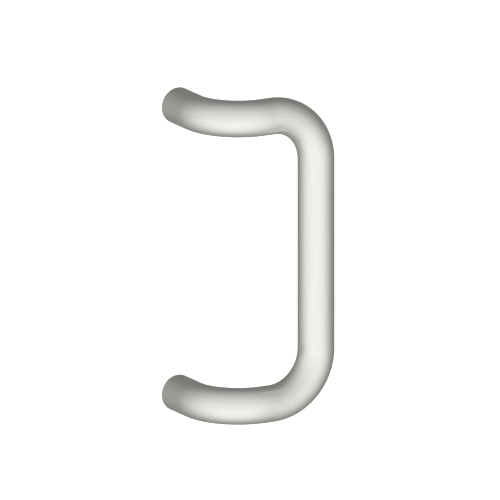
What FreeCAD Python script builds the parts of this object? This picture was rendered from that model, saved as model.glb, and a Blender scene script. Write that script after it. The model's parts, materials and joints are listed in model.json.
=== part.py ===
"""Offset pull handle: one solid round bar, bent twice at each end and tapped for bolts through the door.

The door face is the plane Y = 0 and the handle stands on its -Y side, with +Z up. The origin lies on
the door face, midway between the two fixings. Lengths are in millimetres and angles in degrees.
"""
import FreeCAD, Part
import os
from math import pi

import Sketcher

# Driving sizes: name, value, what it is on the handle
SIZES = [
    ("bar_diameter", 25.4, "round bar stock, 1 in"),
    ("fixing_centres", 203.2, "upper fixing to lower fixing, 8 in"),
    ("door_straight", 22.225, "run of an arm square to the door, 7/8 in"),
    ("bend_radius", 34.925, "centreline radius that the bending former gives, 1-3/8 in"),
    ("arm_straight", 6.35, "run of an arm between its two bends, 1/4 in"),
    ("end_break", 0.2, "edge break round each faced end"),
    ("tapping_diameter", 6.53, "hole drilled for a 5/16 in thread, 18 to the inch"),
    ("tapping_depth", 22.225, "full-width depth of that hole, 7/8 in"),
    ("drill_point_angle", 118.0, "angle of the drill's point at the bottom of the hole"),
    ("lead_in_width", 0.8, "width of the countersunk ring at the hole's mouth"),
    ("lead_in_angle", 120.0, "included angle of the countersink"),
]

# Places that follow from the driving sizes
HALF_CENTRES = "Sizes.fixing_centres / 2"
GRIP_STANDOFF = "Sizes.door_straight + Sizes.bend_radius"
LEAD_IN_DIAMETER = "Sizes.tapping_diameter + 2 * Sizes.lead_in_width"

# Point numbers of a sketched line or arc, counted from its start
START, END, CENTRE = range(1, 4)

# Numbers of the sketch's own axes, counted down from -1, and its origin
ACROSS_AXIS, UP_AXIS = range(-1, -3, -1)
SKETCH_ORIGIN = (ACROSS_AXIS, START)

TOUCH = 1e-6


def make_sheet(doc):
    """Write the driving sizes into a sheet, each in a cell that carries its name."""
    sheet = doc.addObject("Spreadsheet::Sheet", "Sizes")
    for row, (name, value, meaning) in enumerate(SIZES, start=1):
        sheet.set(f"A{row}", name)
        sheet.set(f"B{row}", str(value))
        sheet.set(f"C{row}", meaning)
        sheet.setAlias(f"B{row}", name)
    doc.recompute()
    return sheet


def origin_plane(body, role):
    """Return the body's own plane with this role."""
    return next(item for item in body.Origin.OriginFeatures if item.Role == role)


def new_sketch(body, name, role, offset=None):
    """Start a sketch on one of the body's planes, moved along that plane's normal by an expression."""
    sketch = body.newObject("Sketcher::SketchObject", name)
    sketch.AttachmentSupport = [(origin_plane(body, role), "")]
    sketch.MapMode = "FlatFace"
    if offset:
        sketch.setExpression(".AttachmentOffset.Base.z", offset)
    return sketch


def dimension(sketch, name, expression, kind, *where):
    """Give a sketched shape a named dimension that follows an expression."""
    index = sketch.addConstraint(Sketcher.Constraint(kind, *where))
    sketch.renameConstraint(index, name)
    sketch.setExpression(f"Constraints.{name}", expression)


def relate(sketch, *relations):
    """Tie sketched shapes to each other, each relation given as its kind and the points it joins."""
    for kind, *where in relations:
        sketch.addConstraint(Sketcher.Constraint(kind, *where))


def straight(sketch, start, end):
    """Sketch a straight run between two points and return its number."""
    return sketch.addGeometry(Part.LineSegment(FreeCAD.Vector(*start, 0), FreeCAD.Vector(*end, 0)))


def quarter_turn(sketch, centre, radius, start_angle):
    """Sketch a quarter circle, anticlockwise from its start angle, and return its number."""
    circle = Part.Circle(FreeCAD.Vector(*centre, 0), FreeCAD.Vector(0, 0, 1), radius)
    return sketch.addGeometry(Part.ArcOfCircle(circle, start_angle, start_angle + pi / 2))


def round_section(sketch, centre, diameter):
    """Sketch a circle and return its number."""
    axis = FreeCAD.Vector(0, 0, 1)
    return sketch.addGeometry(Part.Circle(FreeCAD.Vector(*centre, 0), axis, diameter / 2))


def sketch_grip_route(body, sizes):
    """Centreline of the handle's upright part, in the plane that lies a standoff in front of the door.

    It runs from the end of the upper arm's first bend, round the upper corner, down the grip, round
    the lower corner and back.
    """
    half = sizes.fixing_centres / 2
    radius = sizes.bend_radius
    corner = radius + sizes.arm_straight
    grip = corner + radius
    route = new_sketch(body, "grip_route", "XZ_Plane", GRIP_STANDOFF)
    upper_run = straight(route, (radius, half), (corner, half))
    upper_corner = quarter_turn(route, (corner, half - radius), radius, 0)
    grip_run = straight(route, (grip, half - radius), (grip, radius - half))
    lower_corner = quarter_turn(route, (corner, radius - half), radius, -pi / 2)
    lower_run = straight(route, (corner, -half), (radius, -half))
    relate(
        route,
        ("Horizontal", upper_run),
        ("Horizontal", lower_run),
        ("Vertical", grip_run),
        ("Tangent", upper_run, END, upper_corner, END),
        ("Tangent", upper_corner, START, grip_run, START),
        ("Tangent", grip_run, END, lower_corner, END),
        ("Tangent", lower_corner, START, lower_run, START),
        ("Equal", upper_corner, lower_corner),
        ("Symmetric", upper_run, START, lower_run, END, ACROSS_AXIS),
    )
    dimension(route, "bend_radius", "Sizes.bend_radius", "Radius", upper_corner, radius)
    first_bend = ("DistanceX", *SKETCH_ORIGIN, upper_run, START, radius)
    dimension(route, "first_bend_reach", "Sizes.bend_radius", *first_bend)
    between_bends = ("DistanceX", upper_run, START, upper_run, END, sizes.arm_straight)
    dimension(route, "arm_straight", "Sizes.arm_straight", *between_bends)
    centres = ("DistanceY", lower_run, END, upper_run, START, sizes.fixing_centres)
    dimension(route, "fixing_centres", "Sizes.fixing_centres", *centres)
    return route


def sketch_arm_route(body, sizes):
    """Centreline of the upper arm in plan: square off the door, then a quarter turn sideways."""
    run = sizes.door_straight
    radius = sizes.bend_radius
    route = new_sketch(body, "arm_route", "XY_Plane", HALF_CENTRES)
    door_run = straight(route, (0, 0), (0, -run))
    first_bend = quarter_turn(route, (radius, -run), radius, pi)
    relate(
        route,
        ("Coincident", door_run, START, *SKETCH_ORIGIN),
        ("Vertical", door_run),
        ("Tangent", door_run, END, first_bend, START),
        ("Vertical", first_bend, CENTRE, first_bend, END),
    )
    off_door = ("DistanceY", door_run, END, door_run, START, run)
    dimension(route, "door_straight", "Sizes.door_straight", *off_door)
    dimension(route, "bend_radius", "Sizes.bend_radius", "Radius", first_bend, radius)
    return route


def sketch_grip_section(body, sizes):
    """Round section of the bar where the upper arm's first bend ends."""
    standoff = sizes.door_straight + sizes.bend_radius
    half = sizes.fixing_centres / 2
    section = new_sketch(body, "grip_section", "YZ_Plane", "Sizes.bend_radius")
    bar = round_section(section, (-standoff, half), sizes.bar_diameter)
    dimension(section, "bar_diameter", "Sizes.bar_diameter", "Diameter", bar, sizes.bar_diameter)
    from_door = ("DistanceX", bar, CENTRE, *SKETCH_ORIGIN, standoff)
    dimension(section, "grip_standoff", GRIP_STANDOFF, *from_door)
    dimension(section, "half_centres", HALF_CENTRES, "DistanceY", *SKETCH_ORIGIN, bar, CENTRE, half)
    return section


def sketch_door_section(body, sizes):
    """Round section of the bar where the upper arm meets the door."""
    half = sizes.fixing_centres / 2
    section = new_sketch(body, "door_section", "XZ_Plane")
    bar = round_section(section, (0, half), sizes.bar_diameter)
    relate(section, ("PointOnObject", bar, CENTRE, UP_AXIS))
    dimension(section, "bar_diameter", "Sizes.bar_diameter", "Diameter", bar, sizes.bar_diameter)
    dimension(section, "half_centres", HALF_CENTRES, "DistanceY", *SKETCH_ORIGIN, bar, CENTRE, half)
    return section


def sketch_fixings(body, sizes):
    """The two tapped holes, upper and lower, as circles on the door face."""
    half = sizes.fixing_centres / 2
    fixings = new_sketch(body, "fixings", "XZ_Plane")
    upper = round_section(fixings, (0, half), sizes.tapping_diameter)
    lower = round_section(fixings, (0, -half), sizes.tapping_diameter)
    relate(
        fixings,
        ("PointOnObject", upper, CENTRE, UP_AXIS),
        ("Symmetric", upper, CENTRE, lower, CENTRE, ACROSS_AXIS),
        ("Equal", upper, lower),
    )
    hole = ("Diameter", upper, sizes.tapping_diameter)
    dimension(fixings, "tapping_diameter", "Sizes.tapping_diameter", *hole)
    centres = ("DistanceY", lower, CENTRE, upper, CENTRE, sizes.fixing_centres)
    dimension(fixings, "fixing_centres", "Sizes.fixing_centres", *centres)
    return fixings


def sweep(body, name, section, route):
    """Carry a section along every run of a route and join it to the body."""
    pipe = body.newObject("PartDesign::AdditivePipe", name)
    pipe.Profile = section
    pipe.Spine = (route, [f"Edge{number + 1}" for number in range(route.GeometryCount)])
    return pipe


def drill_fixings(body, fixings, sizes):
    """Drill both ends for tapping: a blind hole with a drill point and a countersunk mouth."""
    hole = body.newObject("PartDesign::Hole", "tapping_holes")
    hole.Profile = fixings
    hole.DepthType = "Dimension"
    hole.DrillPoint = "Angled"
    hole.HoleCutType = "Countersink"
    hole.HoleCutCustomValues = True
    hole.Reversed = True
    hole.Diameter = sizes.tapping_diameter
    hole.setExpression("Diameter", "Sizes.tapping_diameter")
    hole.setExpression("Depth", "Sizes.tapping_depth")
    hole.setExpression("DrillPointAngle", "Sizes.drill_point_angle")
    hole.setExpression("HoleCutDiameter", LEAD_IN_DIAMETER)
    hole.setExpression("HoleCutCountersinkAngle", "Sizes.lead_in_angle")
    return hole


def rim_edges(shape, sizes):
    """Names of the bar's two outer edges at the door face."""
    names = []
    for number, edge in enumerate(shape.Edges, start=1):
        on_door = abs(edge.BoundBox.YMin) < TOUCH and abs(edge.BoundBox.YMax) < TOUCH
        if on_door and abs(edge.Curve.Radius - sizes.bar_diameter / 2) < TOUCH:
            names.append(f"Edge{number}")
    return names


def make_pull_bar(doc, sizes):
    """The bar: the upright part and the upper arm are swept, the arm is mirrored, the ends are drilled."""
    body = doc.addObject("PartDesign::Body", "PullBar")
    body.Label = "pull_bar"
    body.Placement = FreeCAD.Placement()
    grip_route = sketch_grip_route(body, sizes)
    grip_section = sketch_grip_section(body, sizes)
    doc.recompute()
    sweep(body, "grip_and_corners", grip_section, grip_route)
    doc.recompute()

    arm_route = sketch_arm_route(body, sizes)
    door_section = sketch_door_section(body, sizes)
    doc.recompute()
    upper_arm = sweep(body, "upper_arm", door_section, arm_route)
    doc.recompute()

    both_arms = body.newObject("PartDesign::Mirrored", "both_arms")
    both_arms.Originals = [upper_arm]
    both_arms.MirrorPlane = (origin_plane(body, "XY_Plane"), [""])
    body.Tip = both_arms
    doc.recompute()

    fixings = sketch_fixings(body, sizes)
    doc.recompute()
    holes = drill_fixings(body, fixings, sizes)
    doc.recompute()

    end_break = body.newObject("PartDesign::Chamfer", "end_break")
    end_break.Base = (holes, rim_edges(holes.Shape, sizes))
    end_break.setExpression("Size", "Sizes.end_break")
    body.Tip = end_break
    doc.recompute()
    return body


def check_model(doc, bodies):
    """Stop if any feature failed, a sketch is loose, or a piece is not one sound solid."""
    for item in doc.Objects:
        if "Invalid" in item.State or "Error" in item.State:
            raise RuntimeError(f"{item.Name} failed: {item.State}")
        if item.isDerivedFrom("Sketcher::SketchObject") and not item.FullyConstrained:
            raise RuntimeError(f"{item.Name} isn't fully dimensioned")
    for body in bodies:
        shape = body.Shape
        if shape.isNull() or not shape.isValid() or len(shape.Solids) != 1:
            raise RuntimeError(f"{body.Label} isn't one sound solid")


def check_cut(before, after):
    """Stop if a cutting feature took nothing away."""
    if after.Shape.Volume > before.Shape.Volume - TOUCH:
        raise RuntimeError(f"{after.Name} cut nothing")


doc = FreeCAD.newDocument("OffsetPull")
sizes = make_sheet(doc)
pull_bar = make_pull_bar(doc, sizes)
check_model(doc, [pull_bar])
check_cut(doc.getObject("both_arms"), doc.getObject("tapping_holes"))
check_cut(doc.getObject("tapping_holes"), doc.getObject("end_break"))

os.makedirs("parts", exist_ok=True)
pull_bar.Shape.exportStep(f"parts/{pull_bar.Label}.step")
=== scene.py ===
import json
from math import cos, pi, radians, sin, tan

import bmesh
import bpy
import numpy as np
from mathutils import Matrix, Vector


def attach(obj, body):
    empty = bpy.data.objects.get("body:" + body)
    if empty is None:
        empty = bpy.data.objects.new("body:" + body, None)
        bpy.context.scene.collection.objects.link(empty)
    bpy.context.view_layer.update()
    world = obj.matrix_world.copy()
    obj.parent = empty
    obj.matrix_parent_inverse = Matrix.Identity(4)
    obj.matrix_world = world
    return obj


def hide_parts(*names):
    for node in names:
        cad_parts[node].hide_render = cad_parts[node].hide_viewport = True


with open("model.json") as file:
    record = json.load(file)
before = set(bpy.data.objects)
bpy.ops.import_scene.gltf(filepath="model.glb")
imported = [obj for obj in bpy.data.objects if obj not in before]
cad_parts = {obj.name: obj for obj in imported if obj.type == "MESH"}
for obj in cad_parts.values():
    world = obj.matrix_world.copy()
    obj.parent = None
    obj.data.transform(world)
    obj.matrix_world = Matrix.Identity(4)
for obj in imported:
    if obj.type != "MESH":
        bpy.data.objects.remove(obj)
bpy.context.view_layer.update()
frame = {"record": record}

# The pull bar: one length of solid round aluminium bar, bent cold on a former in four quarter turns
# of one radius. Its ends are faced flat against the door, chamfered, drilled and tapped for the
# bolts that come through the door. It is the whole handle, so it stands for the frame's node.
INCH = 0.0254
MM = 0.001
mounts = {mount["name"]: mount for mount in frame["record"]["mounts"]}
fixing_dims = mounts["fixing_pair"]["dims"]
fixing_centres = fixing_dims["spacing_y_mm"] * MM
bar_radius = 0.5 * INCH
bend_radius = 1.375 * INCH
door_straight = 0.875 * INCH
arm_straight = 0.25 * INCH
grip_straight = fixing_centres - 2 * bend_radius
end_break = 0.2 * MM

TOWARDS_DOOR = np.array([0.0, 1.0, 0.0])
ACROSS = np.array([1.0, 0.0, 0.0])
UP = np.array([0.0, 0.0, 1.0])

# The bar from its upper end to its lower: straight runs by length, and quarter turns by the axis
# that they turn about
bar_runs = [
    door_straight,
    UP,
    arm_straight,
    TOWARDS_DOOR,
    grip_straight,
    TOWARDS_DOOR,
    arm_straight,
    -UP,
    door_straight,
]
skin_spacing = 1.4 * MM
sides_round = 96
angles = np.linspace(0, 2 * pi, sides_round, endpoint=False)


def turned(vector, axis, angle):
    """A vector turned about a unit axis by each angle.

    Its part along the axis stays, and the rest goes round: cosine of the angle times itself, plus
    sine of the angle times its cross product with the axis.
    """
    along = axis * (axis @ vector)
    across = vector - along
    return along + np.outer(np.cos(angle), across) + np.outer(np.sin(angle), np.cross(axis, vector))


def bent_route(start, heading, side, runs, spacing):
    """Centreline of the bent bar with two directions square to it, at even stations along each run.

    A straight run goes on along the heading. A bend turns the heading and both cross directions
    about its axis, and moves the centre on a circle of the bend radius, so no section twists.
    """
    up = np.cross(heading, side)
    centres, sides, ups = [start[None]], [side[None]], [up[None]]
    for run in runs:
        if np.isscalar(run):
            steps = np.linspace(0, run, round(run / spacing) + 1)[1:, None]
            centres.append(start + steps * heading)
            sides.append(np.repeat(side[None], len(steps), axis=0))
            ups.append(np.repeat(up[None], len(steps), axis=0))
        else:
            turns = np.linspace(0, pi / 2, round(bend_radius * pi / 2 / spacing) + 1)[1:]
            pivot = start + bend_radius * np.cross(run, heading)
            centres.append(pivot + turned(start - pivot, run, turns))
            sides.append(turned(side, run, turns))
            ups.append(turned(up, run, turns))
            heading = turned(heading, run, turns[-1:])[0]
        start, side, up = centres[-1][-1], sides[-1][-1], ups[-1][-1]
    return np.vstack(centres), np.vstack(sides), np.vstack(ups)


# A tapped end, from the bottom of its hole out to its rim: 5/16 in thread, 18 turns to the inch,
# in a drilled hole with a pointed bottom, a shallow countersink and a faced ring with a broken edge.
tapping_radius = fixing_dims["hole_r_mm"] * MM
thread_radius = 5 / 32 * INCH
thread_pitch = INCH / 18
thread_angle = radians(60)
thread_depth = 0.75 * INCH
tapping_depth = 0.875 * INCH
drill_point_angle = radians(118)
point_depth = tapping_depth + tapping_radius / tan(drill_point_angle / 2)
lead_in_width = 0.8 * MM
lead_in_angle = radians(120)
lead_in_depth = lead_in_width / tan(lead_in_angle / 2)
lead_in_tries = 500
wall_rows = 4
face_rows = 8

# The lines that wind along each turn of the thread, in shares of the pitch from the middle of its
# groove: that middle, the edge of the flat bottom, the middle of the flank, the edge and the middle
# of the crest, and the same lines of the other flank
bottom_edge = 1 / 16
crest_edge = bottom_edge + (thread_radius - tapping_radius) * tan(thread_angle / 2) / thread_pitch
deeper_side = np.array([0, bottom_edge, (bottom_edge + crest_edge) / 2, crest_edge])
turn_lines = np.concatenate([deeper_side, [0.5], 1 - deeper_side[:0:-1]])
lines_per_turn = len(turn_lines)


def groove_radius(depth, angle, sense):
    """Radius of the thread's groove at a depth and an angle.

    It is a V of 60 degrees with a flat bottom, an eighth of the pitch wide. Beside the flat, the
    radius falls by the distance from its edge over the tangent of half the angle. The groove winds
    one pitch deeper each turn, and gets shallower over the last pitch until it has gone.
    """
    turn = depth / thread_pitch - sense * angle / (2 * pi)
    off_bottom = np.maximum(np.abs(turn - np.round(turn)) - bottom_edge, 0) * thread_pitch
    run_out = np.clip((depth - thread_depth) / thread_pitch + 1, 0, 1)
    groove_bottom = thread_radius - run_out * (thread_radius - tapping_radius)
    return groove_bottom - off_bottom / tan(thread_angle / 2)


def lead_in_radius(depth):
    """Radius of the countersink's cone, which narrows evenly with the depth to the drilled hole's."""
    return tapping_radius + (lead_in_depth - depth) / lead_in_depth * lead_in_width


def lead_in_end(sense):
    """Depth at each angle where the cone ends: where the groove first cuts it, or at its own foot.

    It is the first of many even tries, from the mouth down, at which the groove is the wider one.
    """
    tries = np.linspace(0, lead_in_depth, lead_in_tries)
    cut = groove_radius(tries[:, None], angles, sense) > lead_in_radius(tries[:, None])
    cut[-1] = True
    return tries[cut.argmax(axis=0)]


def tapped_end(sense):
    """Depths and radii of one end's rows of points, and the row that each runs into after a turn.

    The rows go from the bottom of the hole out to the rim. On the thread they are its lines, which
    wind one pitch deeper each turn and stop flat at its foot and at the mouth. The line where the
    cone ends runs across them, so the depths are sorted at each angle. The radius is the largest of
    the groove's, the drill's and the cone's. One turn of flat lines lies beyond the foot and one
    beyond the mouth, for the others to run into. All other rows are level rings.
    """
    turn_share = angles / (2 * pi) if sense > 0 else 1 - angles / (2 * pi)
    # Turn 0 starts at the mouth, turn -1 winds in through it, and turn -2 stays outside
    beyond_foot = int(np.ceil(thread_depth / thread_pitch))
    beyond_mouth = -2
    turn_numbers = np.arange(beyond_foot, beyond_mouth - 1, -1)
    lines = (turn_numbers[:, None] + turn_lines[::-1]).reshape(-1, 1)
    thread = np.clip((lines + turn_share) * thread_pitch, 0, thread_depth)
    wall_depths = np.linspace(tapping_depth, thread_depth, wall_rows, endpoint=False)
    wall = np.repeat(wall_depths[:, None], sides_round, axis=1)
    hole_depths = -np.sort(-np.vstack([wall, thread, lead_in_end(sense)]), axis=0)
    drilled = np.maximum(lead_in_radius(hole_depths), tapping_radius)
    hole = np.maximum(groove_radius(hole_depths, angles, sense), drilled)

    mouth = hole[-1:]
    shares = np.linspace(0, 1, face_rows + 1)[1:, None]
    face = mouth + shares * (bar_radius - end_break - mouth)
    rim = np.full((1, sides_round), bar_radius)
    depths = np.vstack([hole_depths, np.zeros(face.shape), np.full(rim.shape, end_break)])
    runs_into = np.arange(len(depths))
    runs_into[wall_rows + lines_per_turn : len(hole) - lines_per_turn] -= sense * lines_per_turn
    return depths, np.vstack([hole, face, rim]), runs_into


upper_fixing = fixing_centres / 2 * UP
lower_fixing = -upper_fixing
route, route_side, route_up = bent_route(upper_fixing, -TOWARDS_DOOR, ACROSS, bar_runs, skin_spacing)
route_steps = np.linalg.norm(np.diff(route, axis=0), axis=1)
route_length = np.concatenate([[0], np.cumsum(route_steps)])
bar_length = route_length[-1]

# The skin's stations lie between the two rims and keep clear of them
skin = (route_length > 2 * end_break) & (route_length < bar_length - 2 * end_break)

# A right-hand thread winds in with the angle at the upper end and against it at the lower end, whose
# rows are listed from its rim inwards
upper_depths, upper_radii, upper_runs_into = tapped_end(1)
lower_depths, lower_radii, lower_runs_into = (rows[::-1] for rows in tapped_end(-1))


def end_centres(fixing, depths):
    """Points on a hole's axis: the fixing moved off the door by each depth."""
    return fixing - depths[..., None] * TOWARDS_DOOR


def with_ends(directions):
    """The skin's directions, with the first and the last repeated for each row of the ends."""
    return np.vstack(
        [
            np.repeat(directions[:1], len(upper_depths), axis=0),
            directions[skin],
            np.repeat(directions[-1:], len(lower_depths), axis=0),
        ]
    )


centres = np.vstack(
    [
        end_centres(upper_fixing, upper_depths),
        np.repeat(route[skin][:, None], sides_round, axis=1),
        end_centres(lower_fixing, lower_depths),
    ]
)
row_sides = with_ends(route_side)
row_ups = with_ends(route_up)
skin_along = np.repeat(route_length[skin][:, None], sides_round, axis=1)
radii = np.vstack([upper_radii, np.full(skin_along.shape, bar_radius), lower_radii])
across_bar = np.cos(angles)[:, None] * row_sides[:, None] + np.sin(angles)[:, None] * row_ups[:, None]
rows = centres + radii[..., None] * across_bar
upper_bottom = upper_fixing - point_depth * TOWARDS_DOOR
lower_bottom = lower_fixing - point_depth * TOWARDS_DOOR
bar_points = np.vstack([rows.reshape(-1, 3), upper_bottom, lower_bottom])

# Each row's points in order, closed by the first point of the row that it runs into, and the two
# drill points, each closed by a fan
row_count = len(rows)
numbers = np.arange(row_count * sides_round).reshape(row_count, sides_round)
runs_into = np.arange(row_count)
runs_into[: len(upper_depths)] = upper_runs_into
runs_into[row_count - len(lower_depths) :] = row_count - 1 - lower_runs_into
closed = np.column_stack([numbers, numbers[runs_into, 0]])
quads = np.stack([closed[:-1, :-1], closed[:-1, 1:], closed[1:, 1:], closed[1:, :-1]], axis=-1)
drill_point = np.full(sides_round, numbers.size)
upper_fan = np.stack([drill_point, closed[0, 1:], closed[0, :-1]], axis=-1)
lower_fan = np.stack([closed[-1, :-1], closed[-1, 1:], drill_point + 1], axis=-1)
bar_faces = quads.reshape(-1, 4).tolist() + upper_fan.tolist() + lower_fan.tolist()

bar_mesh = bpy.data.meshes.new("pull_bar_skin")
bar_mesh.from_pydata(bar_points.tolist(), [], bar_faces)

# Each point's place on the straight stock before bending, so that the grain follows the bends
along = np.vstack([upper_depths, skin_along, bar_length - lower_depths])
stock = np.stack([radii * np.cos(angles), radii * np.sin(angles), along], axis=-1)
stock_bottoms = [[0, 0, point_depth], [0, 0, bar_length - point_depth]]
stock_points = np.vstack([stock.reshape(-1, 3), stock_bottoms])
stock_place = bar_mesh.attributes.new("stock_place", "FLOAT_VECTOR", "POINT")
stock_place.data.foreach_set("vector", stock_points.ravel())

# The cut rows, inside each end's rim, and the two fans have the second material
cut_rows = np.zeros(row_count - 1, int)
cut_rows[: len(upper_depths) - 1] = 1
cut_rows[row_count - len(lower_depths) :] = 1
finish_index = np.concatenate([np.repeat(cut_rows, sides_round), np.ones(2 * sides_round, int)])
bar_mesh.polygons.foreach_set("material_index", finish_index)

# The thread's rows end on each other at its foot and at the mouth, and are joined there
joined_within = 0.0001 * MM
joined = bmesh.new()
joined.from_mesh(bar_mesh)
bmesh.ops.remove_doubles(joined, verts=joined.verts, dist=joined_within)
joined.to_mesh(bar_mesh)
joined.free()

# Cutters leave a crisp edge where faces meet at more than this angle, and all the rest is smooth
crisp_angle = radians(25)
bar_mesh.shade_smooth()
bar_mesh.set_sharp_from_angle(angle=crisp_angle)

pull_bar = bpy.data.objects.new("pull_bar_finished", bar_mesh)
bpy.context.collection.objects.link(pull_bar)


def linear(hex_colour):
    """An sRGB hex colour as linear red, green, blue and a full alpha.

    Dark channels are divided by 12.92. The others have 0.055 added, are divided by 1.055 and are
    raised to the power 2.4.
    """
    parts = np.array([int(hex_colour[place : place + 2], 16) for place in (1, 3, 5)]) / 255
    low = parts / 12.92
    high = ((parts + 0.055) / 1.055) ** 2.4
    return (*np.where(parts <= 0.04045, low, high), 1.0)


def add_node(tree, kind, settings, links):
    """Add a node, set its properties and sockets, and link other nodes' outputs to its sockets."""
    node = tree.nodes.new(kind)
    for name, value in settings.items():
        if isinstance(name, str) and hasattr(node, name):
            setattr(node, name, value)
        else:
            node.inputs[name].default_value = value
    for name, (source, output) in links.items():
        tree.links.new(source.outputs[output], node.inputs[name])
    return node


def bare_metal(name):
    """Start a metal: its material, tree and shader, and the node that reads the place on the stock."""
    metal = bpy.data.materials.new(name)
    metal.use_nodes = True
    tree = metal.node_tree
    shader = tree.nodes["Principled BSDF"]
    shader.inputs["Metallic"].default_value = 1.0
    place = add_node(tree, "ShaderNodeAttribute", {"attribute_name": "stock_place"}, {})
    return metal, tree, shader, place


# Satin anodised aluminium: drawn bar, brushed along its length with a fine belt, then etched and
# anodised clear. The eye sees fine streaks along the bar over an even matt grain, a wide soft
# highlight and a faint warm tone from the oxide, which drifts a little over the bar. The streaks and
# the grain are drawn a few times coarser than the real ones, so that they show.
streak_width = 0.3 * MM
streak_length = 25 * MM
grain_size = 0.45 * MM
cloud_size = 18 * MM
streak_share_of_tone = 0.7
streak_height_to_grain = 0.6
satin_relief = 0.05 * MM

# Nearly all of a noise node's values lie between these two
most_noise = {"From Min": 0.3, "From Max": 0.7}

satin, tree, shader, place = bare_metal("satin_anodised_aluminium")
brushed = add_node(
    tree,
    "ShaderNodeMapping",
    {"Scale": (1.0, 1.0, streak_width / streak_length)},
    {"Vector": (place, "Vector")},
)
streaks = add_node(
    tree,
    "ShaderNodeTexNoise",
    {"Scale": 1 / streak_width, "Detail": 1.0},
    {"Vector": (brushed, "Vector")},
)
grain = add_node(
    tree,
    "ShaderNodeTexNoise",
    {"Scale": 1 / grain_size, "Detail": 2.0},
    {"Vector": (place, "Vector")},
)
clouds = add_node(
    tree,
    "ShaderNodeTexNoise",
    {"Scale": 1 / cloud_size, "Detail": 3.0},
    {"Vector": (place, "Vector")},
)
tone = add_node(
    tree,
    "ShaderNodeMixRGB",
    {"Fac": streak_share_of_tone},
    {"Color1": (clouds, "Fac"), "Color2": (streaks, "Fac")},
)
colour = add_node(
    tree,
    "ShaderNodeMixRGB",
    {"Color1": linear("#DFDED7"), "Color2": linear("#FBFAF5")},
    {"Fac": (tone, "Color")},
)
tree.links.new(colour.outputs["Color"], shader.inputs["Base Color"])
roughness = add_node(
    tree,
    "ShaderNodeMapRange",
    {**most_noise, "To Min": 0.26, "To Max": 0.34},
    {"Value": (grain, "Fac")},
)
tree.links.new(roughness.outputs["Result"], shader.inputs["Roughness"])
relief = add_node(
    tree,
    "ShaderNodeMath",
    {"operation": "MULTIPLY_ADD", 1: streak_height_to_grain},
    {0: (streaks, "Fac"), 2: (grain, "Fac")},
)
bump = add_node(
    tree,
    "ShaderNodeBump",
    {"Strength": 0.8, "Distance": satin_relief},
    {"Height": (relief, "Value")},
)
tree.links.new(bump.outputs["Normal"], shader.inputs["Normal"])

# Machined aluminium at the faced ends and in the holes: the cutter leaves fine rings round the axis,
# uneven in depth and tone, with a sharper and greyer shine than the brushed skin. The rings are drawn
# at four times a real facing feed, so that they show and the export's baked pictures can hold them.
ring_spacing = 0.6 * MM
ring_relief = 0.03 * MM

machined, tree, shader, place = bare_metal("faced_aluminium")
flat = add_node(
    tree,
    "ShaderNodeMapping",
    {"Scale": (1.0, 1.0, 0.0)},
    {"Vector": (place, "Vector")},
)
off_axis = add_node(
    tree,
    "ShaderNodeVectorMath",
    {"operation": "LENGTH"},
    {0: (flat, "Vector")},
)
unevenness = add_node(
    tree,
    "ShaderNodeTexNoise",
    {"noise_dimensions": "1D", "Scale": 1 / ring_spacing, "Detail": 1.0},
    {"W": (off_axis, "Value")},
)
colour = add_node(
    tree,
    "ShaderNodeMixRGB",
    {"Color1": linear("#CFCFCB"), "Color2": linear("#EDEDE9")},
    {"Fac": (unevenness, "Fac")},
)
tree.links.new(colour.outputs["Color"], shader.inputs["Base Color"])
ring_phase = add_node(
    tree,
    "ShaderNodeMath",
    {"operation": "MULTIPLY", 1: 2 * pi / ring_spacing},
    {0: (off_axis, "Value")},
)
rings = add_node(tree, "ShaderNodeMath", {"operation": "SINE"}, {0: (ring_phase, "Value")})
ring_depth = add_node(
    tree,
    "ShaderNodeMath",
    {"operation": "MULTIPLY"},
    {0: (rings, "Value"), 1: (unevenness, "Fac")},
)
bump = add_node(
    tree,
    "ShaderNodeBump",
    {"Strength": 1.0, "Distance": ring_relief},
    {"Height": (ring_depth, "Value")},
)
tree.links.new(bump.outputs["Normal"], shader.inputs["Normal"])
cutter_wear = add_node(
    tree,
    "ShaderNodeTexNoise",
    {"Scale": 1 / grain_size, "Detail": 2.0},
    {"Vector": (place, "Vector")},
)
roughness = add_node(
    tree,
    "ShaderNodeMapRange",
    {**most_noise, "To Min": 0.24, "To Max": 0.36},
    {"Value": (cutter_wear, "Fac")},
)
tree.links.new(roughness.outputs["Result"], shader.inputs["Roughness"])

bar_mesh.materials.append(satin)
bar_mesh.materials.append(machined)
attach(pull_bar, "root")
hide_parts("pull_bar")

# The studio floor: a wide white sheet well below the handle, lit from behind so that no shadow
# shows on it. Only the camera sees it, so it puts no light or reflection on the bar.
floor_level = -0.45
floor_reach = 20.0
floor_corners = [
    (-floor_reach, -floor_reach, floor_level),
    (floor_reach, -floor_reach, floor_level),
    (floor_reach, floor_reach, floor_level),
    (-floor_reach, floor_reach, floor_level),
]
floor_mesh = bpy.data.meshes.new("studio_floor")
floor_mesh.from_pydata(floor_corners, [], [(0, 1, 2, 3)])
floor = bpy.data.objects.new("studio_floor", floor_mesh)
bpy.context.collection.objects.link(floor)
white_sheet = bpy.data.materials.new("white_sheet")
white_sheet.use_nodes = True
shader = white_sheet.node_tree.nodes["Principled BSDF"]
shader.inputs["Base Color"].default_value = linear("#F4F4F2")
shader.inputs["Roughness"].default_value = 0.9
shader.inputs["Emission Color"].default_value = linear("#FFFFFF")
shader.inputs["Emission Strength"].default_value = 1.0
floor_mesh.materials.append(white_sheet)
floor.visible_glossy = False
floor.visible_diffuse = False

# The studio light: one soft surround, brightest in front of the handle and a little to its left. It
# fades smoothly with the cosine of the angle from there, down to the cosine where it is dim. A pale
# floor makes it stronger from below. The camera sees plain white.
light_azimuth = radians(-35.5)
light_elevation = radians(8)
bright_light = 1.02
dim_light = 0.23
dim_cosine = -0.85
loss_with_height = 0.27

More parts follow.
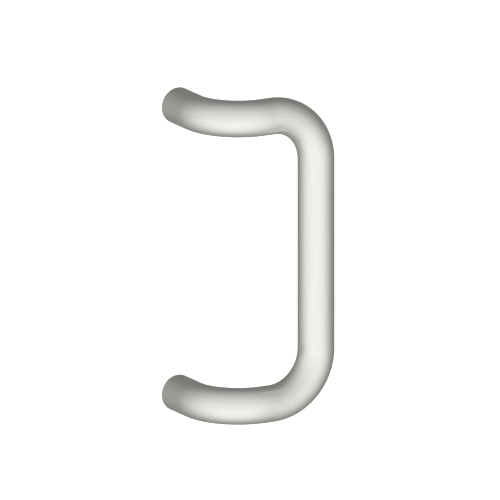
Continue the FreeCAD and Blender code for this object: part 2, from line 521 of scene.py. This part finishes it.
brightest = Vector(
    (
        sin(light_azimuth) * cos(light_elevation),
        -cos(light_azimuth) * cos(light_elevation),
        sin(light_elevation),
    )
)
world = bpy.data.worlds.new("studio_surround")
world.use_nodes = True
bpy.context.scene.world = world
tree = world.node_tree
background = tree.nodes["Background"]
direction = add_node(tree, "ShaderNodeTexCoord", {}, {})
towards_front = add_node(
    tree,
    "ShaderNodeVectorMath",
    {"operation": "DOT_PRODUCT", 1: brightest},
    {0: (direction, "Generated")},
)
fade = add_node(
    tree,
    "ShaderNodeMapRange",
    {
        "interpolation_type": "SMOOTHSTEP",
        "From Min": dim_cosine,
        "From Max": 1.0,
        "To Min": dim_light,
        "To Max": bright_light,
    },
    {"Value": (towards_front, "Value")},
)
height = add_node(tree, "ShaderNodeSeparateXYZ", {}, {"Vector": (direction, "Generated")})
from_below = add_node(
    tree,
    "ShaderNodeMath",
    {"operation": "MULTIPLY_ADD", 1: -loss_with_height, 2: 1.0},
    {0: (height, "Z")},
)
surround = add_node(
    tree,
    "ShaderNodeMath",
    {"operation": "MULTIPLY"},
    {0: (fade, "Result"), 1: (from_below, "Value")},
)
ray = add_node(tree, "ShaderNodeLightPath", {}, {})
seen = add_node(
    tree,
    "ShaderNodeMixRGB",
    {"Color2": linear("#FFFFFF")},
    {"Fac": (ray, "Is Camera Ray"), "Color1": (surround, "Value")},
)
tree.links.new(seen.outputs["Color"], background.inputs["Color"])

# The camera: a parallel view from the handle's left and above, framed as in the photograph. The
# origin's pixel and the scale place the picture on the handle.
photo_pixels = 500
pixels_per_inch = 37.179
origin_pixel_x = 177.57
origin_pixel_y = 248.77
view_azimuth = radians(-30)
view_elevation = radians(15)
camera_distance = 1.5

pixel = INCH / pixels_per_inch
right = Vector((cos(view_azimuth), sin(view_azimuth), 0.0))
back = Vector(
    (
        sin(view_azimuth) * cos(view_elevation),
        -cos(view_azimuth) * cos(view_elevation),
        sin(view_elevation),
    )
)
above = back.cross(right)
centre_right = (photo_pixels / 2 - origin_pixel_x) * pixel
centre_above = (origin_pixel_y - photo_pixels / 2) * pixel
camera_data = bpy.data.cameras.new("photo_view")
camera_data.type = "ORTHO"
camera_data.ortho_scale = photo_pixels * pixel
camera = bpy.data.objects.new("photo_view", camera_data)
bpy.context.collection.objects.link(camera)
turn = Matrix((right, above, back)).transposed()
camera.matrix_world = Matrix.Translation(
    centre_right * right + centre_above * above + camera_distance * back
) @ turn.to_4x4()
bpy.context.scene.camera = camera
bpy.context.scene.view_settings.view_transform = "Standard"
